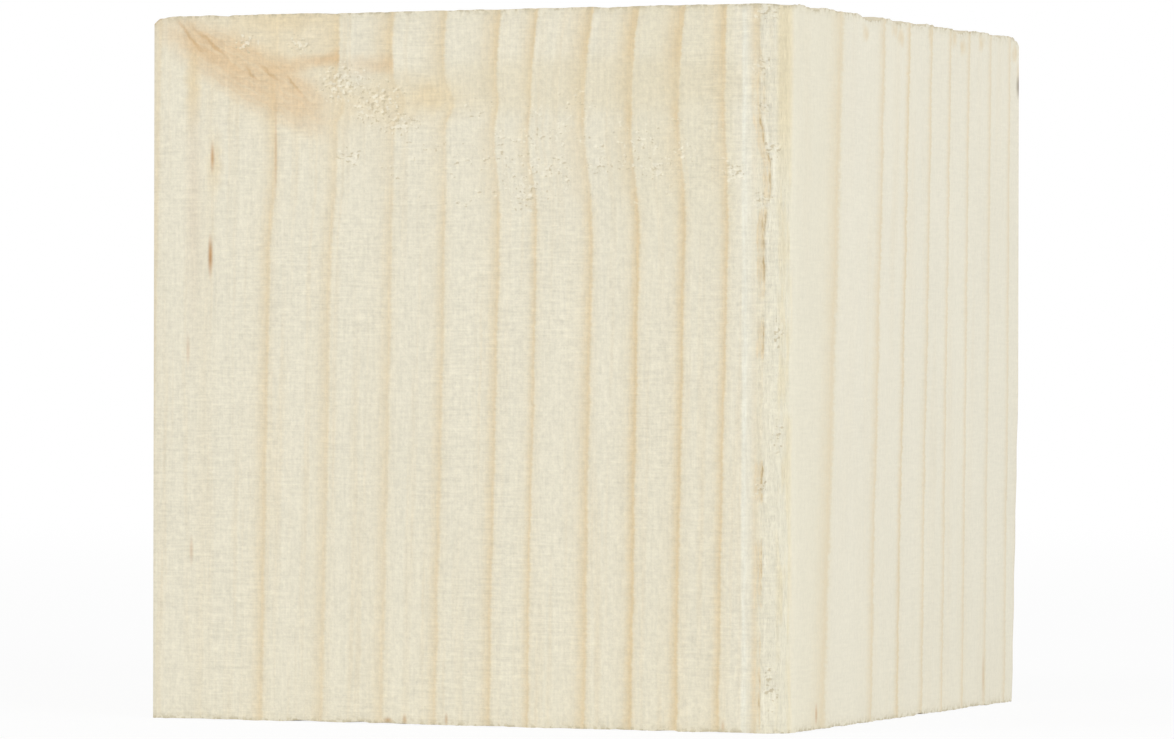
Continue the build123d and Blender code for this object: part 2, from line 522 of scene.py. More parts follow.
class NodeBench:
    """Adds nodes to one tree."""

    def __init__(self, tree):
        self.tree = tree

    def feed(self, socket, value):
        if isinstance(value, bpy.types.NodeSocket):
            self.tree.links.new(value, socket)
        else:
            socket.default_value = value

    def add(self, kind, inputs=(), **settings):
        node = self.tree.nodes.new(kind)
        column, row = divmod(len(self.tree.nodes), NODES_IN_COLUMN)
        node.location = (column * NODE_WIDTH, -row * NODE_HEIGHT)
        for name, value in settings.items():
            setattr(node, name, value)
        for name, value in dict(inputs).items():
            self.feed(node.inputs[name], value)
        return node

    def operate(self, kind, operation, values):
        node = self.add(kind, operation=operation)
        for socket, value in zip(node.inputs, values):
            self.feed(socket, value)
        return node.outputs

    def maths(self, operation, *values):
        return self.operate("ShaderNodeMath", operation, values)[0]

    def vector(self, operation, *values):
        outputs = self.operate("ShaderNodeVectorMath", operation, values)
        return outputs["Value" if operation in ("LENGTH", "DOT_PRODUCT") else "Vector"]

    def joined(self, operation, first, *others):
        for other in others:
            first = self.maths(operation, first, other)
        return first

    def total(self, *values):
        return self.joined("ADD", *values)

    def times(self, *values):
        return self.joined("MULTIPLY", *values)

    def greatest(self, *values):
        return self.joined("MAXIMUM", *values)

    def swing(self, value, amount):
        """A noise from 0 to 1 turned into one that goes this far from lowest to highest, round zero."""
        return self.maths("MULTIPLY_ADD", value, amount, -amount / 2)

    def scaled(self, vector, factor):
        inputs = {"Vector": vector, "Scale": factor}
        return self.add("ShaderNodeVectorMath", inputs, operation="SCALE").outputs[0]

    def axes(self, vector):
        return self.add("ShaderNodeSeparateXYZ", {"Vector": vector}).outputs

    def attribute(self, name):
        return self.add("ShaderNodeAttribute", attribute_name=name).outputs["Fac"]

    def mix(self, factor, first, second):
        node = self.add("ShaderNodeMix", data_type="RGBA")
        for index, value in ((0, factor), (6, first), (7, second)):
            self.feed(node.inputs[index], value)
        return node.outputs[2]

    def layered(self, colour, *layers):
        """A colour with others laid over it in turn, each with its mask."""
        for mask, tint in layers:
            colour = self.mix(mask, colour, tint)
        return colour

    def fade(self, value, low, high, start=0.0, end=1.0):
        """Goes smoothly from start to end while the value goes from low to high."""
        inputs = {"Value": value, "From Min": low, "From Max": high, "To Min": start, "To Max": end}
        return self.add("ShaderNodeMapRange", inputs, interpolation_type="SMOOTHSTEP").outputs[0]

    def speckle(self, position, per_mm, detail, roughness):
        """Noise from 0 to 1, with this many lumps a millimetre along X, Y and Z."""
        stretched = self.vector("MULTIPLY", position, per_mm)
        inputs = {"Vector": stretched, "Scale": 1.0, "Detail": detail, "Roughness": roughness}
        return self.add("ShaderNodeTexNoise", inputs).outputs["Fac"]

    def wobbled(self, position, per_mm, amount):
        """The position, pushed about by up to half this amount each way."""
        stretched = self.scaled(position, per_mm)
        push = self.add("ShaderNodeTexNoise", {"Vector": stretched, "Scale": 1.0}).outputs["Color"]
        push = self.scaled(self.vector("SUBTRACT", push, (0.5, 0.5, 0.5)), amount)
        return self.vector("ADD", position, push)

    def curve(self, value, points):
        """A line drawn through points, from x 0 to x 1."""
        node = self.add("ShaderNodeFloatCurve", {"Value": value})
        line = node.mapping.curves[0]
        line.points[0].location = points[0]
        line.points[1].location = points[-1]
        for x, y in points[1:-1]:
            line.points.new(x, y)
        for point in line.points:
            point.handle_type = "VECTOR"
        node.mapping.update()
        return node.outputs[0]

    def group(self, tree, **inputs):
        node = self.add("ShaderNodeGroup", node_tree=tree)
        for name, value in inputs.items():
            self.feed(node.inputs[name.replace("_", " ").title()], value)
        return node.outputs


def new_group(name, inputs, outputs):
    """An empty node group, its bench, and its own input and output nodes."""
    tree = bpy.data.node_groups.new(name, "ShaderNodeTree")
    for socket, kind in inputs.items():
        tree.interface.new_socket(name=socket, in_out="INPUT", socket_type=kind)
    for socket, kind in outputs.items():
        tree.interface.new_socket(name=socket, in_out="OUTPUT", socket_type=kind)
    bench = NodeBench(tree)
    return tree, bench, bench.add("NodeGroupInput").outputs, bench.add("NodeGroupOutput").inputs


def screen_colour(red, green, blue):
    """A colour as it looks on screen, 0 to 255 each, turned into the linear colour that a shader takes."""
    linear = [((c / 255 + 0.055) / 1.055) ** 2.4 if c > 10 else c / 255 / 12.92 for c in (red, green, blue)]
    return (*linear, 1)


print("node bench ready")

# %% [markdown]
# ## Growth rings
# The lines on a plank are not stripes: they are where its faces cut the tree's rings. So the pattern is a
# solid one. Every point's distance from the pith, outside the block at its front left, says which year it
# grew in, and the same field draws the lines on the sides and the arcs on the ends. A wave texture would
# give even rings, but real years differ, so the widths are listed, innermost first, with how dark the
# summer wood of each year is. A curve turns distance into a count of years, and the fraction that is left
# says how late in the year it is: pale spring wood, then darkening, then a sharp stop.
#
# The trunk leans a little across the block and tapers, and a knot bends the grain near the top.

# %% Growth rings
PITH = (-60.25, -38.46, 28.0)
PITH_LEAN = (0.137, 0.0397)
TRUNK_TAPER = 0.1235
FIRST_RING = 34.75
YEARS = (
    (4.4, 0.45), (3.9, 0.14), (4.5, 0.75), (4.5, 0.58), (4.5, 0.55), (4.0, 0.66), (4.05, 0.78), (2.75, 0.8),
    (4.17, 0.86), (3.41, 1.07), (3.35, 1.0), (3.07, 0.92), (2.7, 0.72), (3.8, 0.56), (2.7, 0.62), (2.0, 0.8),
    (2.1, 0.63), (1.9, 0.6), (2.1, 0.58), (2.6, 0.5), (2.5, 0.5), (2.4, 0.45), (2.4, 0.45),
)
RINGS_REACH = sum(width for width, _ in YEARS)
# How dark the wood is through the year
YEAR_PROFILE = (
    (0, 0.32), (0.05, 0.14), (0.13, 0.04), (0.2, 0), (0.5, 0.02), (0.68, 0.1), (0.78, 0.24), (0.84, 0.5),
    (0.9, 0.74), (0.945, 1), (0.97, 0.85), (1, 0.32),
)
# Near the knot the summer wood starts earlier in the year, and still stops as sharply
BROAD_PROFILE = (
    (0, 0.25), (0.03, 0.06), (0.08, 0), (0.3, 0.03), (0.5, 0.1), (0.6, 0.2), (0.72, 0.42), (0.82, 0.6),
    (0.9, 0.85), (0.95, 1), (0.975, 0.8), (1, 0.25),
)
# Where the knot pushes the rings about: middle, half size, and how far they go
RING_BENDS = (
    ((11.5, -24, 43.5), (9.5, 8, 6.0), 0.85),
    ((16, -24, 49.5), (6.0, 8, 3.0), 0.25),
    ((4.5, -24, 40.5), (3.5, 8, 2.2), 0.3),
    ((-3, -24, 47.5), (5.0, 8, 2.5), 0.3),
    ((-5.5, -24, 43.5), (7.5, 8, 1.1), -0.8),
    ((-11.5, -24, 48.0), (4.0, 8, 3.5), -0.4),
    ((-12, -24, 39.0), (5.0, 8, 4.0), -0.4),
    ((23, -24, 49.0), (3.0, 3.0, 3.5), 0.5),
)
BEND_STEEPNESS = 1.4
# Uneven growth: lumps a millimetre, detail, roughness, and how far the rings go
RING_WAVERS = (
    ((0.07, 0.07, 0.03), 1, 0.5, 0.4),
    ((0.6, 0.6, 0.3), 3, 0.65, 0.3),
    ((0.9, 0.9, 4.0), 2, 0.5, 0.25),
)
# The faint lines of the wood's tone within a year: lumps a millimetre, detail and roughness
TONE = ((1.1, 1.0, 0.03), 3, 0.6)
# Beyond this distance the summer wood is thinner
OLD_TREE = 85.5
OLD_TREE_POWER = 1.6


def curves_for_years():
    """Points of the curves from distance to years, and from distance to the darkness of summer wood."""
    count = [(0, 0)]
    darkness = [(0, YEARS[0][1])]
    reached = 0
    for year, (width, dark) in enumerate(YEARS, start=1):
        reached += width
        count.append((reached / RINGS_REACH, year / len(YEARS)))
        darkness.append((reached / RINGS_REACH, dark))
    return count, darkness


def ring_distance(bench, position):
    """Distance from the pith, as the lean, the taper, the knot and uneven growth leave it, and the height."""
    from_pith = bench.vector("SUBTRACT", position, PITH)
    height = bench.axes(from_pith)["Z"]
    leaned = bench.vector("SUBTRACT", from_pith, bench.scaled((*PITH_LEAN, 1), height))
    distance = bench.maths("MULTIPLY_ADD", height, TRUNK_TAPER, bench.vector("LENGTH", leaned))
    for middle, half_size, push in RING_BENDS:
        inside = bench.vector("DIVIDE", bench.vector("SUBTRACT", position, middle), half_size)
        reach = bench.vector("DOT_PRODUCT", inside, inside)
        bend = bench.maths("POWER", math.e, bench.times(bench.maths("POWER", reach, BEND_STEEPNESS), -1))
        distance = bench.maths("MULTIPLY_ADD", bend, push, distance)
    for per_mm, detail, roughness, amount in RING_WAVERS:
        waver = bench.maths("SUBTRACT", bench.speckle(position, per_mm, detail, roughness), 0.5)
        distance = bench.maths("MULTIPLY_ADD", waver, amount, distance)
    return distance, height


def make_growth_rings():
    outputs = ("Latewood", "Broad Latewood", "Distance", "Tone")
    tree, bench, given, result = new_group(
        "growth_rings", {"Position": "NodeSocketVector"}, dict.fromkeys(outputs, "NodeSocketFloat")
    )
    distance, height = ring_distance(bench, given["Position"])
    share = bench.maths("DIVIDE", bench.maths("SUBTRACT", distance, FIRST_RING), RINGS_REACH)
    count, darkness = curves_for_years()
    season = bench.maths("FRACT", bench.times(bench.curve(share, count), len(YEARS)))
    dark = bench.curve(share, darkness)
    power = bench.fade(distance, OLD_TREE - 1, OLD_TREE + 1, 1.0, OLD_TREE_POWER)
    profile = bench.maths("POWER", bench.curve(season, YEAR_PROFILE), power)
    along = bench.add("ShaderNodeCombineXYZ", {"X": distance, "Z": height}).outputs[0]
    bench.feed(result["Latewood"], bench.times(profile, dark))
    bench.feed(result["Broad Latewood"], bench.times(bench.curve(season, BROAD_PROFILE), dark))
    bench.feed(result["Distance"], distance)
    bench.feed(result["Tone"], bench.speckle(along, *TONE))
    return tree


growth_rings = make_growth_rings()
print(f"{len(YEARS)} years over {RINGS_REACH:.1f} mm")

# %% [markdown]
# ## Soft marks
# A knot's stain, a resin streak and a spot of dirt are all soft lumps in the wood. One group draws them: a
# Mapping node puts the lump's own middle, turn and half sizes in place, and the distance from its middle
# fades it out. Because it is a lump and not a decal, it carries over an edge as a real stain does.

# %% Soft marks
def make_soft_mark():
    inputs = ("Position", "Middle", "Turn", "Half Size")
    tree, bench, given, result = new_group(
        "soft_mark",
        dict.fromkeys(inputs, "NodeSocketVector"),
        {"Mark": "NodeSocketFloat", "Inside": "NodeSocketVector"},
    )
    lump = {
        "Vector": given["Position"],
        "Location": given["Middle"],
        "Rotation": given["Turn"],
        "Scale": given["Half Size"],
    }
    inside = bench.add("ShaderNodeMapping", lump, vector_type="TEXTURE").outputs[0]
    bench.feed(result["Mark"], bench.fade(bench.vector("LENGTH", inside), 1.0, 0.0))
    bench.feed(result["Inside"], inside)
    return tree


soft_mark = make_soft_mark()


def soft_marked(bench, position, middle, half_size, degrees=0, output="Mark"):
    """A mark in one material, turned clockwise on the front by some degrees."""
    turn = (0, math.radians(degrees), 0)
    return bench.group(soft_mark, position=position, middle=middle, turn=turn, half_size=half_size)[output]


print("soft mark ready")

# %% [markdown]
# ## The knot
# A branch left the trunk just above the top left corner, and its flank shows on the front as a tan wedge
# that slants down to the right, with thin dark lines near its upper edge. The wood round it is stained. The
# stain above the wedge stops dead at a ring, and so do two short bars beside it, so those masks ask the
# rings for their distance. A painted picture could show all this, but only on one face. Soft marks, each
# with a name and a place, go on into the wood.
#
# The knot changes the rings too. Inside the stain they are crushed and hardly show. To the right of it the
# summer wood starts earlier in the year, so the lines are broad.

# %% Knot
KNOT_WOOD = screen_colour(220, 187, 142)
KNOT_HALO = screen_colour(230, 214, 180)
KNOT_VEIL = screen_colour(224, 213, 184)
KNOT_LINE = screen_colour(201, 165, 116)
# Marks lie just inside the front or the right side
MARK_INSIDE = 0.05
FACE = MARK_INSIDE - BACK
RIGHT_FACE = RIGHT - MARK_INSIDE
KNOT_MIDDLE = (-15.9, FACE, 45.5)
KNOT_SIZE = (11.3, 5.0, 2.75)
KNOT_SLANT = 28
# Where along X the wedge runs out to the right
WEDGE_RUNS_OUT = (-12.6, -9.2)
# Streaks along the wedge: lumps across the wedge's half sizes, detail and roughness
KNOT_STREAKS = ((1.2, 2.0, 7.0), 4, 0.65)
# How uneven the marks are: lumps a millimetre, and amount
KNOT_WOBBLE = (0.9, 0.9)
# Marks on the front: middle along X and Z, half size along X and Z, and slant
KNOT_MARKS = {
    "upper flank": ((-20.7, 48.3), (3.0, 1.2), KNOT_SLANT),
    "bar": ((-9.6, 46.8), (7.0, 0.9), -7),
    "second bar": ((-5.6, 46.3), (5.5, 1.2), 0),
    "veil": ((8.0, 44.6), (26.0, 3.0), 0),
    "stain": ((-13.5, 48.2), (9.5, 4.2), 0),
    "top stain": ((-14.0, 49.7), (8.0, 1.5), 0),
    "tail": ((-5.0, 43.6), (8.5, 2.6), 0),
    "pool": ((-2.2, 44.2), (2.2, 1.7), 0),
    "drip": ((-21.0, 45.2), (0.9, 4.6), 0),
    "seep": ((-19.3, 39.4), (0.9, 3.2), 0),
    "glow": ((-15.6, 45.2), (13.0, 5.0), KNOT_SLANT),
    "crushed rings": ((-17.6, 47.4), (6.4, 4.6), 0),
    "dark rings": ((-7.5, 48.0), (6.0, 4.0), 0),
    "bent rings": ((6.0, 48.0), (36.0, 8.0), 0),
    "pulled rings": ((6.0, 39.4), (24.0, 4.0), 0),
}
MARK_DEPTH = 4.0
# Marks that are full over much of their size: the level from which they are
FULL_FROM = {"veil": 0.7, "bent rings": 0.6, "pulled rings": 0.6}
# How strongly each mark tints the wood, or darkens its rings
KNOT_SHARES = {
    "upper flank": 0.2, "bar": 0.7, "second bar": 0.45, "veil": 0.42, "stain": 0.52, "top stain": 0.55,
    "tail": 0.6, "pool": 0.7, "drip": 0.8, "seep": 0.6, "glow": 0.33, "dark rings": 0.6, "bent rings": 0.2,
    "pulled rings": -0.3,
}
# Dark lines: middle along X and Z, half length and slant
KNOT_LINES = (
    ((-21.2, 48.5), 2.6, 46),
    ((-19.6, 47.95), 2.9, 43),
    ((-16.5, 45.9), 0.8, 52),
    ((-14.9, 45.7), 1.5, 42),
    ((-13.2, 44.9), 1.5, 47),
)
KNOT_LINE_WIDTH = 0.24
KNOT_LINE_SHARE = 0.55
# The two years whose outer edge stops the stain and the bars, and how softly it does, inside and outside
STAIN_YEARS = (4, 5)
SOFT_INSIDE, SOFT_OUTSIDE = 0.15, 0.1


def within_year(bench, rings, year):
    """1 inside the outer edge of a year, 0 outside it."""
    edge = FIRST_RING + sum(width for width, _ in YEARS[:year])
    return bench.fade(rings["Distance"], edge - SOFT_INSIDE, edge + SOFT_OUTSIDE, 1.0, 0.0)


def front_mark(bench, position, middle, half_size, slant):
    (x, z), (half_x, half_z) = middle, half_size
    return soft_marked(bench, position, (x, FACE, z), (half_x, MARK_DEPTH, half_z), slant)


def tinted(bench, marks, name, *masks):
    """A mark at its own strength, where the masks let it show."""
    return bench.times(marks[name], *masks, KNOT_SHARES[name])


def knot_latewood(bench, marks, rings):
    """Summer wood as the knot leaves it."""
    broad_zone = bench.greatest(marks["bent rings"], marks["pulled rings"])
    broader = bench.maths("SUBTRACT", rings["Broad Latewood"], rings["Latewood"])
    latewood = bench.total(rings["Latewood"], bench.times(broader, broad_zone))
    darker = [tinted(bench, marks, name) for name in ("dark rings", "bent rings", "pulled rings")]
    left_whole = bench.maths("SUBTRACT", 1.0, marks["crushed rings"])
    return bench.times(latewood, left_whole, bench.total(1.0, *darker))


def knot_halo(bench, marks, inner):
    """The stain, which ends at a ring above the wedge and spreads softly below it."""
    above = [tinted(bench, marks, name, inner) for name in ("stain", "top stain")]
    below = [tinted(bench, marks, name) for name in ("tail", "pool", "drip", "seep", "glow")]
    return bench.total(*above, *below)


def knot_brown(bench, position, marks, inner, between):
    """The wedge, streaky along its length, and the two bars."""
    inside = soft_marked(bench, position, KNOT_MIDDLE, KNOT_SIZE, KNOT_SLANT, "Inside")
    wedge = bench.fade(bench.vector("LENGTH", inside), 1.0, 0.35)
    streaky = bench.speckle(inside, *KNOT_STREAKS)
    runs_out = bench.fade(bench.axes(position)["X"], *WEDGE_RUNS_OUT, 1.0, 0.1)
    return bench.total(
        bench.times(wedge, bench.fade(streaky, 0.25, 0.7, 0.36, 0.7), runs_out),
        tinted(bench, marks, "upper flank"),
        tinted(bench, marks, "bar", inner),
        tinted(bench, marks, "second bar", between),
    )


def knot_lines(bench, position):
    lines = []
    for middle, half_length, slant in KNOT_LINES:
        lines.append(front_mark(bench, position, middle, (half_length, KNOT_LINE_WIDTH), slant))
    return bench.times(bench.greatest(*lines), KNOT_LINE_SHARE)


def knot_masks(bench, position, rings):
    """Summer wood near the knot, and the layers of colour that the knot adds."""
    uneven = bench.wobbled(position, *KNOT_WOBBLE)
    marks = {name: front_mark(bench, uneven, *mark) for name, mark in KNOT_MARKS.items()}
    for name, level in FULL_FROM.items():
        marks[name] = bench.fade(marks[name], 0.0, level)
    inner, outer = (within_year(bench, rings, year) for year in STAIN_YEARS)
    between = bench.maths("SUBTRACT", outer, inner)
    layers = (
        (tinted(bench, marks, "veil"), KNOT_VEIL),
        (knot_halo(bench, marks, inner), KNOT_HALO),
        (knot_brown(bench, uneven, marks, inner, between), KNOT_WOOD),
        (knot_lines(bench, uneven), KNOT_LINE),
    )
    return knot_latewood(bench, marks, rings), layers


print("marks round the knot:", len(KNOT_MARKS), "dark lines:", len(KNOT_LINES))

# %% [markdown]
# ## Resin and smudges
# Below the knot a little resin has set in thin streaks along the grain, and the saw left dark spots where it
# pulled fibres out at the base. The right side has yellowish smudges under its ragged top edge. All of them
# are soft marks. The streaks add up, while smudges that overlap do not get darker.

# %% Resin and smudges
RESIN = screen_colour(190, 142, 88)
SMUDGE = screen_colour(222, 200, 158)
# Resin streaks and spots: middle, half size and strength
STREAKS = (
    ((-19.5, FACE, 39.9), (0.24, 0.8, 1.5), 0.7),
    ((-19.65, FACE, 32.9), (0.28, 0.8, 2.0), 0.9),
    ((-14.5, FACE, 40.2), (0.16, 0.8, 4.2), 0.35),
    ((-21.0, FACE, 36.5), (1.0, 0.8, 14.0), 0.13),
    ((-21.4, FACE, 26.2), (0.24, 0.8, 1.6), 0.3),
    ((-21.1, FACE, 12.0), (0.24, 0.8, 1.4), 0.35),
    ((-5.7, FACE, 0.2), (0.5, 0.5, 0.4), 0.8),
    ((-4.4, FACE, 0.3), (0.25, 0.5, 0.6), 0.6),
    ((-1.2, FACE, 0.4), (0.2, 0.5, 0.7), 0.5),
    ((19.6, FACE, 0.4), (0.2, 0.5, 0.7), 0.4),
    ((RIGHT_FACE, -18.5, 1.1), (0.4, 0.35, 1.0), 0.6),
    ((RIGHT_FACE, 16.2, 2.2), (0.4, 0.4, 2.4), 0.3),
)
# Smudges under the top edge of the right side: place along Y and Z
SMUDGES = (
    (-9.0, 48.6), (-3.0, 49.2), (-1.6, 48.7), (4.5, 49.2), (9.6, 49.3), (11.4, 48.7), (15.4, 49.3),
    (23.2, 48.8), (24.0, 47.4),
)
SMUDGE_SIZE = (1.5, 1.0, 1.0)
SMUDGE_SHARE = 0.5
SMUDGE_WOBBLE = (0.8, 1.6)
# A longer smudge down the torn arris: middle, half size and strength
ARRIS_SMUDGE = ((RIGHT - 0.4, 0.95 - BACK, 47.0), (0.9, 0.9, 8.5), 0.7)


def streak_mask(bench, position):
    streaks = 0.0
    for middle, half_size, strength in STREAKS:
        mark = soft_marked(bench, position, middle, half_size)
        streaks = bench.maths("MULTIPLY_ADD", mark, strength, streaks)
    return streaks


def smudge_mask(bench, position):
    uneven = bench.wobbled(position, *SMUDGE_WOBBLE)
    smudges = [soft_marked(bench, uneven, (RIGHT, y, z), SMUDGE_SIZE) for y, z in SMUDGES]
    middle, half_size, strength = ARRIS_SMUDGE
    beside_arris = bench.times(soft_marked(bench, position, middle, half_size), strength)
    return bench.times(bench.greatest(*smudges, beside_arris), SMUDGE_SHARE)


print("resin streaks:", len(STREAKS), "smudges:", len(SMUDGES) + 1)

# %% [markdown]
# ## Lifted fibre
# Where the planer pulled, ends of fibre stand up: pale flecks, painted brighter as a highlight, each with a
# painted shadow at its lower right. The pits below them are in the mesh, but single fibres are too fine for
# it. A noise is cut off so high that only its peaks show, and a mask of patches lifts more peaks over that
# level. The same noise, moved a little, is the painted shadow. Along the rounded arris the flecks stand in
# tufts.

# %% Lifted fibre
# Painted shadow beside each lifted fleck, and the fleck itself: pale fibre painted brighter as a highlight
FLECK_PAINTED_SHADOW = screen_colour(204, 191, 160)
FLECK_PALE_AND_HIGHLIGHT = screen_colour(246, 240, 222)
FLECK_SHADOW_SHARE = 0.75
FLECK_HIGHLIGHT_SHARE = 0.55
FLECK_CROWDING = 0.14
# Noise of the flecks: lumps a millimetre, detail and roughness, and the levels of its peaks
FLECKS = ((3.0, 3.0, 4.0), 1, 0.5)
FLECK_PEAKS = (0.63, 0.76)
FLECK_SHADE_OFFSET = (-0.11, -0.11, 0.11)
# The broad zone that is thinly flecked: middle and half size, and the clumps of flecks in it
FLECKED_ZONE = ((6.0, FACE, 40.0), (19.0, 1.0, 6.0))
FLECKED_ZONE_SHARE = 0.5
FLECK_CLUMPS = ((0.5, 0.5, 0.7), 2, 0.5)
# Patches reach a little past their pits, and this deep into the wood
PATCH_SPREAD = 1.3
PATCH_DEPTH = 1.0
# Tufts of fibre on the rounded arris: distance round it, height, half width and half height
TUFTS = (
    (0.6, 49.5, 1.5, 0.9), (0.4, 45.7, 1.0, 1.1), (0.4, 43.0, 0.9, 0.8), (1.0, 40.0, 0.9, 1.2),
    (0.4, 36.6, 1.0, 0.8), (1.45, 27.3, 0.6, 1.5), (1.5, 20.3, 0.7, 1.5), (0.2, 16.8, 0.8, 0.9),
    (0.95, 3.2, 0.8, 2.2),
)


def pulled_mask(bench, position):
    """How thickly the wood is flecked: thinly in a broad zone, thickly in patches and tufts."""
    clumps = bench.fade(bench.speckle(position, *FLECK_CLUMPS), 0.45, 0.62)
    pulled = [bench.times(soft_marked(bench, position, *FLECKED_ZONE), clumps, FLECKED_ZONE_SHARE)]
    for (x, z), (half_x, half_z) in PULLED_PATCHES:
        half_size = (half_x * PATCH_SPREAD, PATCH_DEPTH, half_z * PATCH_SPREAD)
        pulled.append(soft_marked(bench, position, (x, FACE, z), half_size))
    for round_it, z, half_width, half_height in TUFTS:
        turned = round_it / ROUNDED_ARRIS
        x = RIGHT - ROUNDED_ARRIS * (1 - math.sin(turned))
        y = ROUNDED_ARRIS * (1 - math.cos(turned)) - BACK
        pulled.append(soft_marked(bench, position, (x, y, z), (half_width, half_width, half_height)))
    return bench.greatest(*pulled)


def fleck_layers(bench, position):
    """The painted shadows of the flecks, and the flecks over them, pale fibre painted brighter as a
    highlight.
    """
    pulled = pulled_mask(bench, position)
    crowding = bench.times(pulled, FLECK_CROWDING)
    some = bench.fade(pulled, 0.02, 0.15)
    flecks = []
    for place in (position, bench.vector("ADD", position, FLECK_SHADE_OFFSET)):
        crowded = bench.total(bench.speckle(place, *FLECKS), crowding)
        flecks.append(bench.fade(crowded, *FLECK_PEAKS))
    light, shade = flecks
    shade = bench.maths("SUBTRACT", shade, light)
    return (
        (bench.times(shade, some, FLECK_SHADOW_SHARE), FLECK_PAINTED_SHADOW),
        (bench.times(light, some, FLECK_HIGHLIGHT_SHARE), FLECK_PALE_AND_HIGHLIGHT),
    )


print("tufts on the arris:", len(TUFTS))

# %% [markdown]
# ## The torn arris
# The torn strip has colours of its own, and some painted light. From left to right they are a pale strip that
# is partly pale fibre and partly a painted highlight, rough pale fibre, the split with peeled wood beside it,
# darkened partly by torn fibre and partly by painted shade, a lip painted bright as a highlight, and a
# yellowed band on the rounding, strongest near the top. The torn fibres also take painted shade in their pits
# and painted highlight on their ridges. The bands could follow a picture, but distances from the front right
# corner are enough, and the split's colours come from the attribute that its shape left on the mesh.

# %% Torn arris
# The pale strip's colour is partly pale fibre and partly a painted highlight where the front starts to round
# over
PALE_STRIP_AND_HIGHLIGHT = screen_colour(238, 237, 223)
TORN_PALE = screen_colour(240, 234, 212)
YELLOWED = screen_colour(234, 221, 187)
PEELED_WOOD = screen_colour(232, 216, 184)
SPLIT_WOOD_AND_SHADE = screen_colour(204, 182, 140)
SPLIT_LIP_HIGHLIGHT = screen_colour(247, 242, 222)
# Bands round the corner: where each sets in on the front, in from the right side, and where it ends on the
# right side, back from the front
TORN_BAND = ((2.4, 2.1), (0.9, 1.5))
YELLOWED_BAND = ((1.1, 0.7), (1.0, 1.6))
# The pale strip, partly pale fibre and partly a painted highlight, in from the right side: where it sets in,
# and its two steps down with their strengths
PALE_STRIP_SETS_IN = (3.45, 3.2)
PALE_STRIP_STEPS = (((3.1, 2.8), 0.4), ((2.75, 2.45), 0.35))
# Heights between which the pale fibre gets weaker and the yellow gets stronger, and their strengths there
PALE_HEIGHTS, PALE_SHARES = (35.0, 44.0), (0.7, 0.3)
YELLOW_HEIGHTS, YELLOW_SHARES = (34.0, 43.0), (0.0, 0.8)
# Noises of the torn fibre and of the streaks in the yellow: lumps a millimetre, detail and roughness
TORN_FIBRE = ((8.0, 8.0, 0.9), 3, 0.7)
YELLOW_STREAKS = ((1.6, 1.6, 0.2), 3, 0.5)
# Colours of the split: the looks between which each sets in, and its strength. The split's colour is partly
# torn fibre and partly painted shade, and the lip's is a painted highlight.
SPLIT_COLOURS = (
    (PEELED_WOOD, (0.03, 0.28), 0.8),
    (SPLIT_WOOD_AND_SHADE, (0.3, 0.6), 0.9),
    (SPLIT_LIP_HIGHLIGHT, (-0.05, -0.5), 0.7),
)


def from_right(bench, axes, band, start=0.0, end=1.0):
    """A fade between two distances in from the right side."""
    first, last = band
    return bench.fade(axes["X"], RIGHT - first, RIGHT - last, start, end)


def round_corner(bench, axes, band):
    """1 in a band round the front right corner."""
    on_front, (stays, ends) = band
    return bench.times(
        from_right(bench, axes, on_front),
        bench.fade(axes["Y"], stays - BACK, ends - BACK, 1.0, 0.0),
    )


# Painted highlight with pale fibre on the strip before the rounding, made uneven by the fibre noise
def pale_strip_mask(bench, axes, fibre):
    steps = [from_right(bench, axes, step, strength, 0.0) for step, strength in PALE_STRIP_STEPS]
    worn = bench.fade(fibre, 0.3, 0.7, 0.5, 1.0)
    return bench.times(from_right(bench, axes, PALE_STRIP_SETS_IN), bench.total(*steps), worn)


def torn_arris(bench, position, axes, fibre):
    """The torn band, the relief of its fibres, which also paints shade in their pits and highlight on their
    ridges, and its layers of colour.
    """
    torn = round_corner(bench, axes, TORN_BAND)
    torn_fibre = bench.speckle(position, *TORN_FIBRE)
    torn_lights = bench.times(torn, bench.maths("SUBTRACT", torn_fibre, 0.5))
    paled = bench.times(torn, bench.fade(axes["Z"], *PALE_HEIGHTS, *PALE_SHARES))
    yellow_streaks = bench.fade(bench.speckle(position, *YELLOW_STREAKS), 0.42, 0.62, 0.0, 0.6)
    yellowed = bench.greatest(yellow_streaks, bench.fade(axes["Z"], *YELLOW_HEIGHTS, *YELLOW_SHARES))
    split = bench.times(bench.attribute("split"), bench.fade(torn_fibre, 0.35, 0.65, 0.5, 1.3))
    layers = [
        (pale_strip_mask(bench, axes, fibre), PALE_STRIP_AND_HIGHLIGHT),
        (paled, TORN_PALE),
        (bench.times(round_corner(bench, axes, YELLOWED_BAND), yellowed), YELLOWED),
    ]
    for colour, looks, share in SPLIT_COLOURS:
        layers.append((bench.fade(split, *looks, 0.0, share), colour))
    return torn, torn_lights, layers


print("torn band:", TORN_BAND, "yellowed band:", YELLOWED_BAND)

# %% [markdown]
# ## Planed side grain
# The colour starts with pale spring wood, which is a little mellower in some years and paler and greyer
# beyond a set distance from the pith, which takes in much of the right side, and darkens with the rings. Then
# it takes the layers made above, one after another: the knot, resin, smudges, the torn arris with its painted
# shade and highlights, the flecks with their painted highlights and shadows, and last a painted shade along
# the sawn rim and one mark of dirt on the back right arris. Fine fibre, planer lines and a soft mottle vary
# it, less on the left and right sides, which are smoother. The same fibre gives the bump, and summer wood is
# a little glossier.

# %% Side grain
SPRING_WOOD = screen_colour(232, 226, 206)
SUMMER_WOOD = screen_colour(223, 204, 167)
MELLOW_WOOD = screen_colour(229, 222, 199)
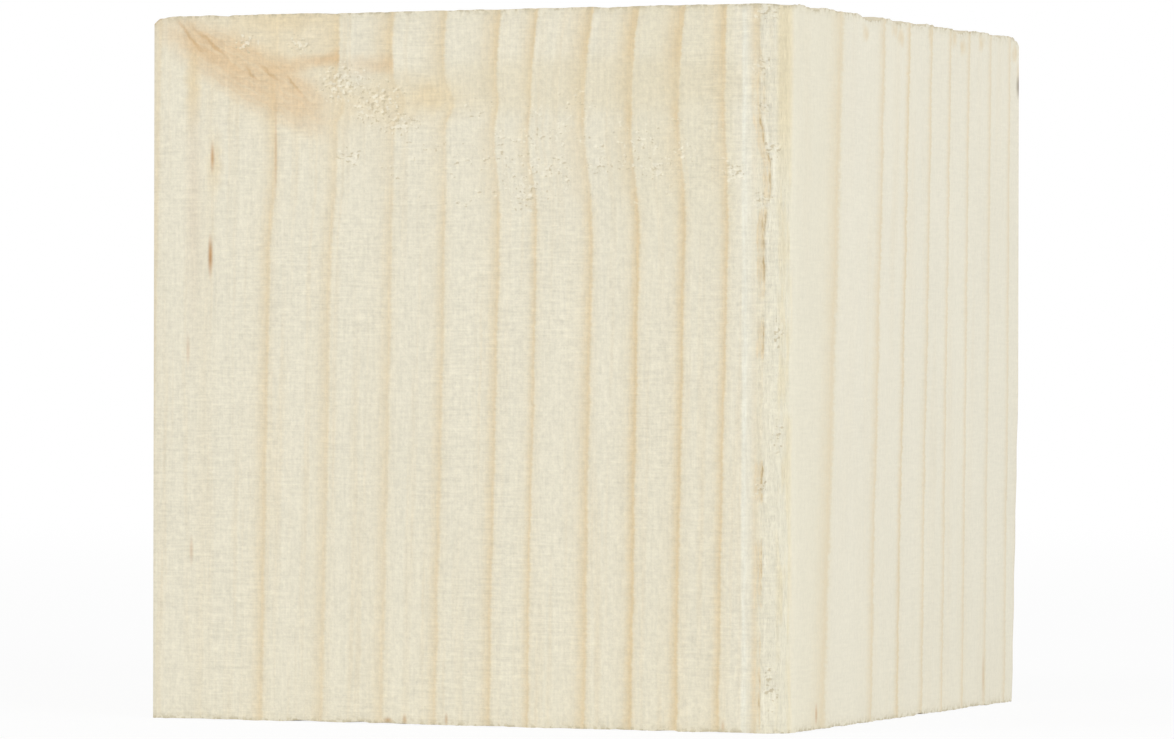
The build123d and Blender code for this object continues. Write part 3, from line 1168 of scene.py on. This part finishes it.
# Paler, greyer colour beyond a set distance from the pith, which takes in much of the right side
FAR_FROM_PITH_PALER = screen_colour(236, 231, 219)
RIM_PAINTED_SHADE = screen_colour(196, 185, 155)
DIRT = screen_colour(120, 104, 84)
DIRT_MARK = ((24.3, 24.2, 46.3), (0.8, 1.1, 1.3))
# Distances from the pith at which the mellow wood comes and goes, and the paler, greyer colour comes, which
# takes in much of the right side
MELLOW_COMES, MELLOW_GOES = (71.0, 76.0), (81.6, 82.2)
OUTER_COMES, OUTER_SHARE = (87.6, 88.1), 0.22
# Heights between which the mellow wood gets stronger, and its strengths there
MELLOW_HEIGHTS, MELLOW_SHARES = (32.0, 38.0), (0.25, 0.9)
# Noises of the planed wood: lumps a millimetre, detail and roughness
FIBRE = ((5.0, 5.0, 0.5), 4, 0.65)
CROSS_LINES = ((0.45, 0.45, 5.0), 4, 0.65)
FUZZ = ((3.2, 3.2, 3.2), 3, 0.7)
MOTTLE = ((0.22, 0.22, 0.12), 3, 0.5)
RIM_SPECKS = ((2.4, 2.4, 2.4), 2, 0.5)
PLANER_PATCHES = ((0.14, 0.14, 0.1), 2, 0.5)
# The front and the back are planed more roughly, from this near their faces
ROUGH_PLANED = (0.8, 0.2)
SMOOTH_SHARE = 0.45
SIDE_GLOSS = 0.3


def new_wood(name):
    """A material, its bench, its shader's inputs, and the position on the block in millimetres."""
    material = bpy.data.materials.new(name)
    material.use_nodes = True
    bench = NodeBench(material.node_tree)
    position = bench.scaled(bench.add("ShaderNodeTexCoord").outputs["Object"], 1 / MM)
    return material, bench, material.node_tree.nodes["Principled BSDF"].inputs, position


def finish_wood(bench, shader, colour, roughness, gloss, relief):
    """Feeds the shader. The relief is in millimetres."""
    bench.feed(shader["Base Color"], colour)
    bench.feed(shader["Roughness"], roughness)
    bench.feed(shader["Specular IOR Level"], gloss)
    bump = bench.add("ShaderNodeBump", {"Height": relief, "Distance": MM, "Strength": 1.0})
    bench.feed(shader["Normal"], bump.outputs[0])


def ring_colour(bench, axes, rings, latewood):
    """Spring wood, with the tint of its years, and summer wood."""
    mellow = bench.times(
        bench.fade(rings["Distance"], *MELLOW_COMES),
        bench.fade(rings["Distance"], *MELLOW_GOES, 1.0, 0.0),
        bench.fade(axes["Z"], *MELLOW_HEIGHTS, *MELLOW_SHARES),
    )
    outer = bench.fade(rings["Distance"], *OUTER_COMES, 0.0, OUTER_SHARE)
    return bench.layered(SPRING_WOOD, (mellow, MELLOW_WOOD), (outer, FAR_FROM_PITH_PALER), (latewood, SUMMER_WOOD))


def make_side_grain():
    material, bench, shader, position = new_wood("planed_side_grain")
    axes = bench.axes(position)
    noises = (FIBRE, CROSS_LINES, FUZZ, MOTTLE, RIM_SPECKS, PLANER_PATCHES)
    fibre, cross, fuzz, mottle, specks, patches = (bench.speckle(position, *kind) for kind in noises)
    rough_from, rough_to = (BACK - depth for depth in ROUGH_PLANED)
    rough_planed = bench.fade(bench.maths("ABSOLUTE", axes["Y"]), rough_from, rough_to, SMOOTH_SHARE, 1.0)

    rings = bench.group(growth_rings, position=position)
    latewood, knot_layers = knot_masks(bench, position, rings)
    latewood = bench.times(latewood, bench.maths("MULTIPLY_ADD", fibre, 0.6, 0.7))
    faint_lines = bench.times(bench.fade(rings["Tone"], 0.46, 0.8, 0.0, 0.35), rough_planed)
    latewood = bench.greatest(latewood, faint_lines)
    torn, torn_lights, torn_layers = torn_arris(bench, position, axes, fibre)
    # Painted shade along the sawn rim, where fuzzy fibres stand in shadow, broken up by specks
    speckled_rim_shade = bench.times(bench.attribute("rim"), bench.fade(specks, 0.48, 0.56, 0.2, 1.0))
    colour = bench.layered(
        ring_colour(bench, axes, rings, latewood),
        *knot_layers,
        (streak_mask(bench, position), RESIN),
        (smudge_mask(bench, position), SMUDGE),
        *torn_layers,
        *fleck_layers(bench, position),
        (speckled_rim_shade, RIM_PAINTED_SHADE),
        (soft_marked(bench, position, *DIRT_MARK), DIRT),
    )

    texture = bench.total(
        bench.swing(fibre, 0.22),
        bench.times(bench.swing(cross, 0.26), bench.fade(patches, 0.4, 0.6, 0.35, 1.2)),
        bench.swing(fuzz, 0.34),
    )
    variation = bench.total(
        bench.times(texture, rough_planed),
        bench.maths("MULTIPLY_ADD", mottle, 0.05, 0.975),
        # The torn fibres' relief in the colour as well: painted shade in its pits, painted highlight on its
        # ridges
        bench.times(torn_lights, 0.35),
    )
    roughness = bench.maths("MULTIPLY_ADD", latewood, -0.12, 0.72)
    roughness = bench.maths("MULTIPLY_ADD", torn, 0.15, roughness)
    relief = bench.total(
        bench.times(fibre, 0.03),
        bench.times(cross, rough_planed, 0.03),
        bench.times(fuzz, rough_planed, 0.02),
        bench.times(latewood, 0.012),
        bench.times(torn_lights, 0.12),
    )
    finish_wood(bench, shader, bench.scaled(colour, variation), roughness, SIDE_GLOSS, relief)
    return material


side_grain = make_side_grain()
print("side grain nodes:", len(side_grain.node_tree.nodes))

# %% [markdown]
# ## Sawn end grain
# Cut across, the same rings are arcs, and the open ends of the fibres drink in light: the end is a shade
# darker and yellower than the sides, its summer wood stands out more, and the saw leaves fine scratches in
# one direction. The growth rings come from the same group, so every line on a side meets its arc on the end.

# %% End grain
END_SPRING = screen_colour(229, 219, 193)
END_SUMMER = screen_colour(203, 176, 134)
END_KNOT = ((-21.5, -24.0, 49.5), (5.0, 3.5, 2.6), KNOT_SLANT)
END_KNOT_SHARE = 0.8
END_GLOSS = 0.2
SAW_TURN = (0, 0, math.radians(24))
# Noises of the sawn wood: lumps a millimetre, detail and roughness
SCRATCHES = ((0.09, 4.5, 0.3), 4, 0.65)
KERF = ((0.03, 0.7, 0.1), 2, 0.5)
PORES = ((7.0, 7.0, 1.0), 2, 0.7)


def make_end_grain():
    material, bench, shader, position = new_wood("sawn_end_grain")
    latewood = bench.group(growth_rings, position=position)["Latewood"]
    turned = bench.add("ShaderNodeMapping", {"Vector": position, "Rotation": SAW_TURN}).outputs[0]
    scratches = bench.speckle(turned, *SCRATCHES)
    kerf = bench.speckle(turned, *KERF)
    pores = bench.speckle(position, *PORES)
    knot = bench.times(soft_marked(bench, position, *END_KNOT), END_KNOT_SHARE)
    colour = bench.layered(END_SPRING, (latewood, END_SUMMER), (knot, KNOT_WOOD))
    variation = bench.total(
        bench.maths("MULTIPLY_ADD", scratches, 0.16, 0.86),
        bench.swing(pores, 0.14),
        bench.maths("MULTIPLY_ADD", kerf, 0.08, -0.02),
    )
    roughness = bench.maths("MULTIPLY_ADD", latewood, -0.1, 0.88)
    relief = bench.total(
        bench.times(scratches, 0.09),
        bench.times(kerf, 0.12),
        bench.times(pores, 0.04),
        bench.times(latewood, 0.02),
    )
    finish_wood(bench, shader, bench.scaled(colour, variation), roughness, END_GLOSS, relief)
    return material


end_grain = make_end_grain()
cube_mesh.materials.append(side_grain)
cube_mesh.materials.append(end_grain)
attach(softwood_cube, "root")
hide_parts("wooden_cube")
print("end grain nodes:", len(end_grain.node_tree.nodes))

# %% [markdown]
# ## Floor and world
# The block stands on a plain pale floor under an even white sky. To the camera both are the same white, so
# no horizon shows behind the block, while the light that they give to the wood stays at a plain level. The
# floor's white is part glow and part real surface, which keeps the block's soft shadow on it.

# %% Floor and world
FLOOR_SIZE = 6.0
FLOOR_GREY = (0.9, 0.9, 0.9, 1)
WHITE = (1, 1, 1, 1)
SKY_LIGHT = 0.66
NEAR_GLOW = 0.9
GLOW_FADES = (0.1, 0.6)


def seen_by_camera(bench):
    """1 for rays that look at the stage, straight or by reflection, 0 for rays that light the block."""
    rays = bench.add("ShaderNodeLightPath").outputs
    return bench.greatest(rays["Is Camera Ray"], rays["Is Glossy Ray"], rays["Is Transmission Ray"])


def make_floor():
    bm = bmesh.new()
    bmesh.ops.create_grid(bm, x_segments=1, y_segments=1, size=FLOOR_SIZE / 2)
    mesh = bpy.data.meshes.new("pale_floor")
    bm.to_mesh(mesh)
    bm.free()
    material = bpy.data.materials.new("pale_floor")
    material.use_nodes = True
    bench = NodeBench(material.node_tree)
    bench.tree.nodes.remove(bench.tree.nodes["Principled BSDF"])
    from_block = bench.vector("LENGTH", bench.add("ShaderNodeTexCoord").outputs["Object"])
    surface = bench.add("ShaderNodeBsdfDiffuse", {"Color": FLOOR_GREY}).outputs[0]
    glow = bench.add("ShaderNodeEmission", {"Color": WHITE, "Strength": 1.0}).outputs[0]
    glow_share = bench.fade(from_block, *GLOW_FADES, NEAR_GLOW, 1.0)
    mixed = bench.add("ShaderNodeMixShader", {"Fac": bench.times(seen_by_camera(bench), glow_share)})
    bench.feed(mixed.inputs[1], surface)
    bench.feed(mixed.inputs[2], glow)
    bench.feed(bench.tree.nodes["Material Output"].inputs["Surface"], mixed.outputs[0])
    mesh.materials.append(material)
    floor = bpy.data.objects.new("pale_floor", mesh)
    bpy.context.collection.objects.link(floor)


def make_sky():
    world = bpy.data.worlds.new("studio_sky")
    world.use_nodes = True
    bench = NodeBench(world.node_tree)
    background = world.node_tree.nodes["Background"].inputs
    background["Color"].default_value = WHITE
    bench.feed(background["Strength"], bench.fade(seen_by_camera(bench), 0.0, 1.0, SKY_LIGHT, 1.0))
    bpy.context.scene.world = world


make_floor()
make_sky()
print("floor and sky ready")

# %% [markdown]
# ## Lamps
# The photograph is lit softly from both sides. A large lamp at the upper left rakes over the front, so that
# torn fibres have a lit and a shaded side, and a second one at the right keeps the other face as bright.

# %% Lamps
BLOCK_MIDDLE = Vector((0, 0, LENGTH * MM / 2))


def add_softbox(name, place, watts, size, colour):
    light = bpy.data.lights.new(name, "AREA")
    light.shape = "DISK"
    light.size = size
    light.energy = watts
    light.color = colour
    lamp = bpy.data.objects.new(name, light)
    lamp.location = place
    lamp.rotation_euler = (BLOCK_MIDDLE - lamp.location).to_track_quat("-Z", "Y").to_euler()
    bpy.context.collection.objects.link(lamp)


add_softbox("left_softbox", (-0.75, -0.75, 0.6), watts=3.3, size=0.55, colour=(1.0, 0.99, 0.975))
add_softbox("right_softbox", (1.0, -0.45, 0.45), watts=4.75, size=0.7, colour=(0.945, 0.975, 1.0))
print("lamps ready")

# %% [markdown]
# ## Camera
# The photograph's corners give its camera: level with the middle of the block, 23 degrees round to the
# right, and close enough that the near arris is visibly taller than the far ones.

# %% Camera
IMAGE_WIDTH = 1174
FOCAL_LENGTH_PIXELS = 6260
SENSOR = 36
AZIMUTH = math.radians(23.0)
ROLL = math.radians(0.12)
DISTANCE = 0.4592
AIM_ASIDE = -0.0008
AIM_UP = -0.0001
CLIP_START = 0.01

view = bpy.data.cameras.new("photo_camera")
view.sensor_width = SENSOR
view.lens = FOCAL_LENGTH_PIXELS * SENSOR / IMAGE_WIDTH
view.clip_start = CLIP_START
camera = bpy.data.objects.new("photo_camera", view)
to_camera = Vector((math.sin(AZIMUTH), -math.cos(AZIMUTH), 0))
to_right = Vector((math.cos(AZIMUTH), math.sin(AZIMUTH), 0))
aim = BLOCK_MIDDLE + Vector((0, 0, AIM_UP)) + to_right * AIM_ASIDE
camera.location = aim + to_camera * DISTANCE
camera.rotation_euler = to_camera.to_track_quat("Z", "Y").to_euler()
camera.rotation_euler.rotate_axis("Z", ROLL)
bpy.context.collection.objects.link(camera)
bpy.context.scene.camera = camera
bpy.context.scene.view_settings.view_transform = "Standard"
print(f"lens {view.lens:.1f} mm")
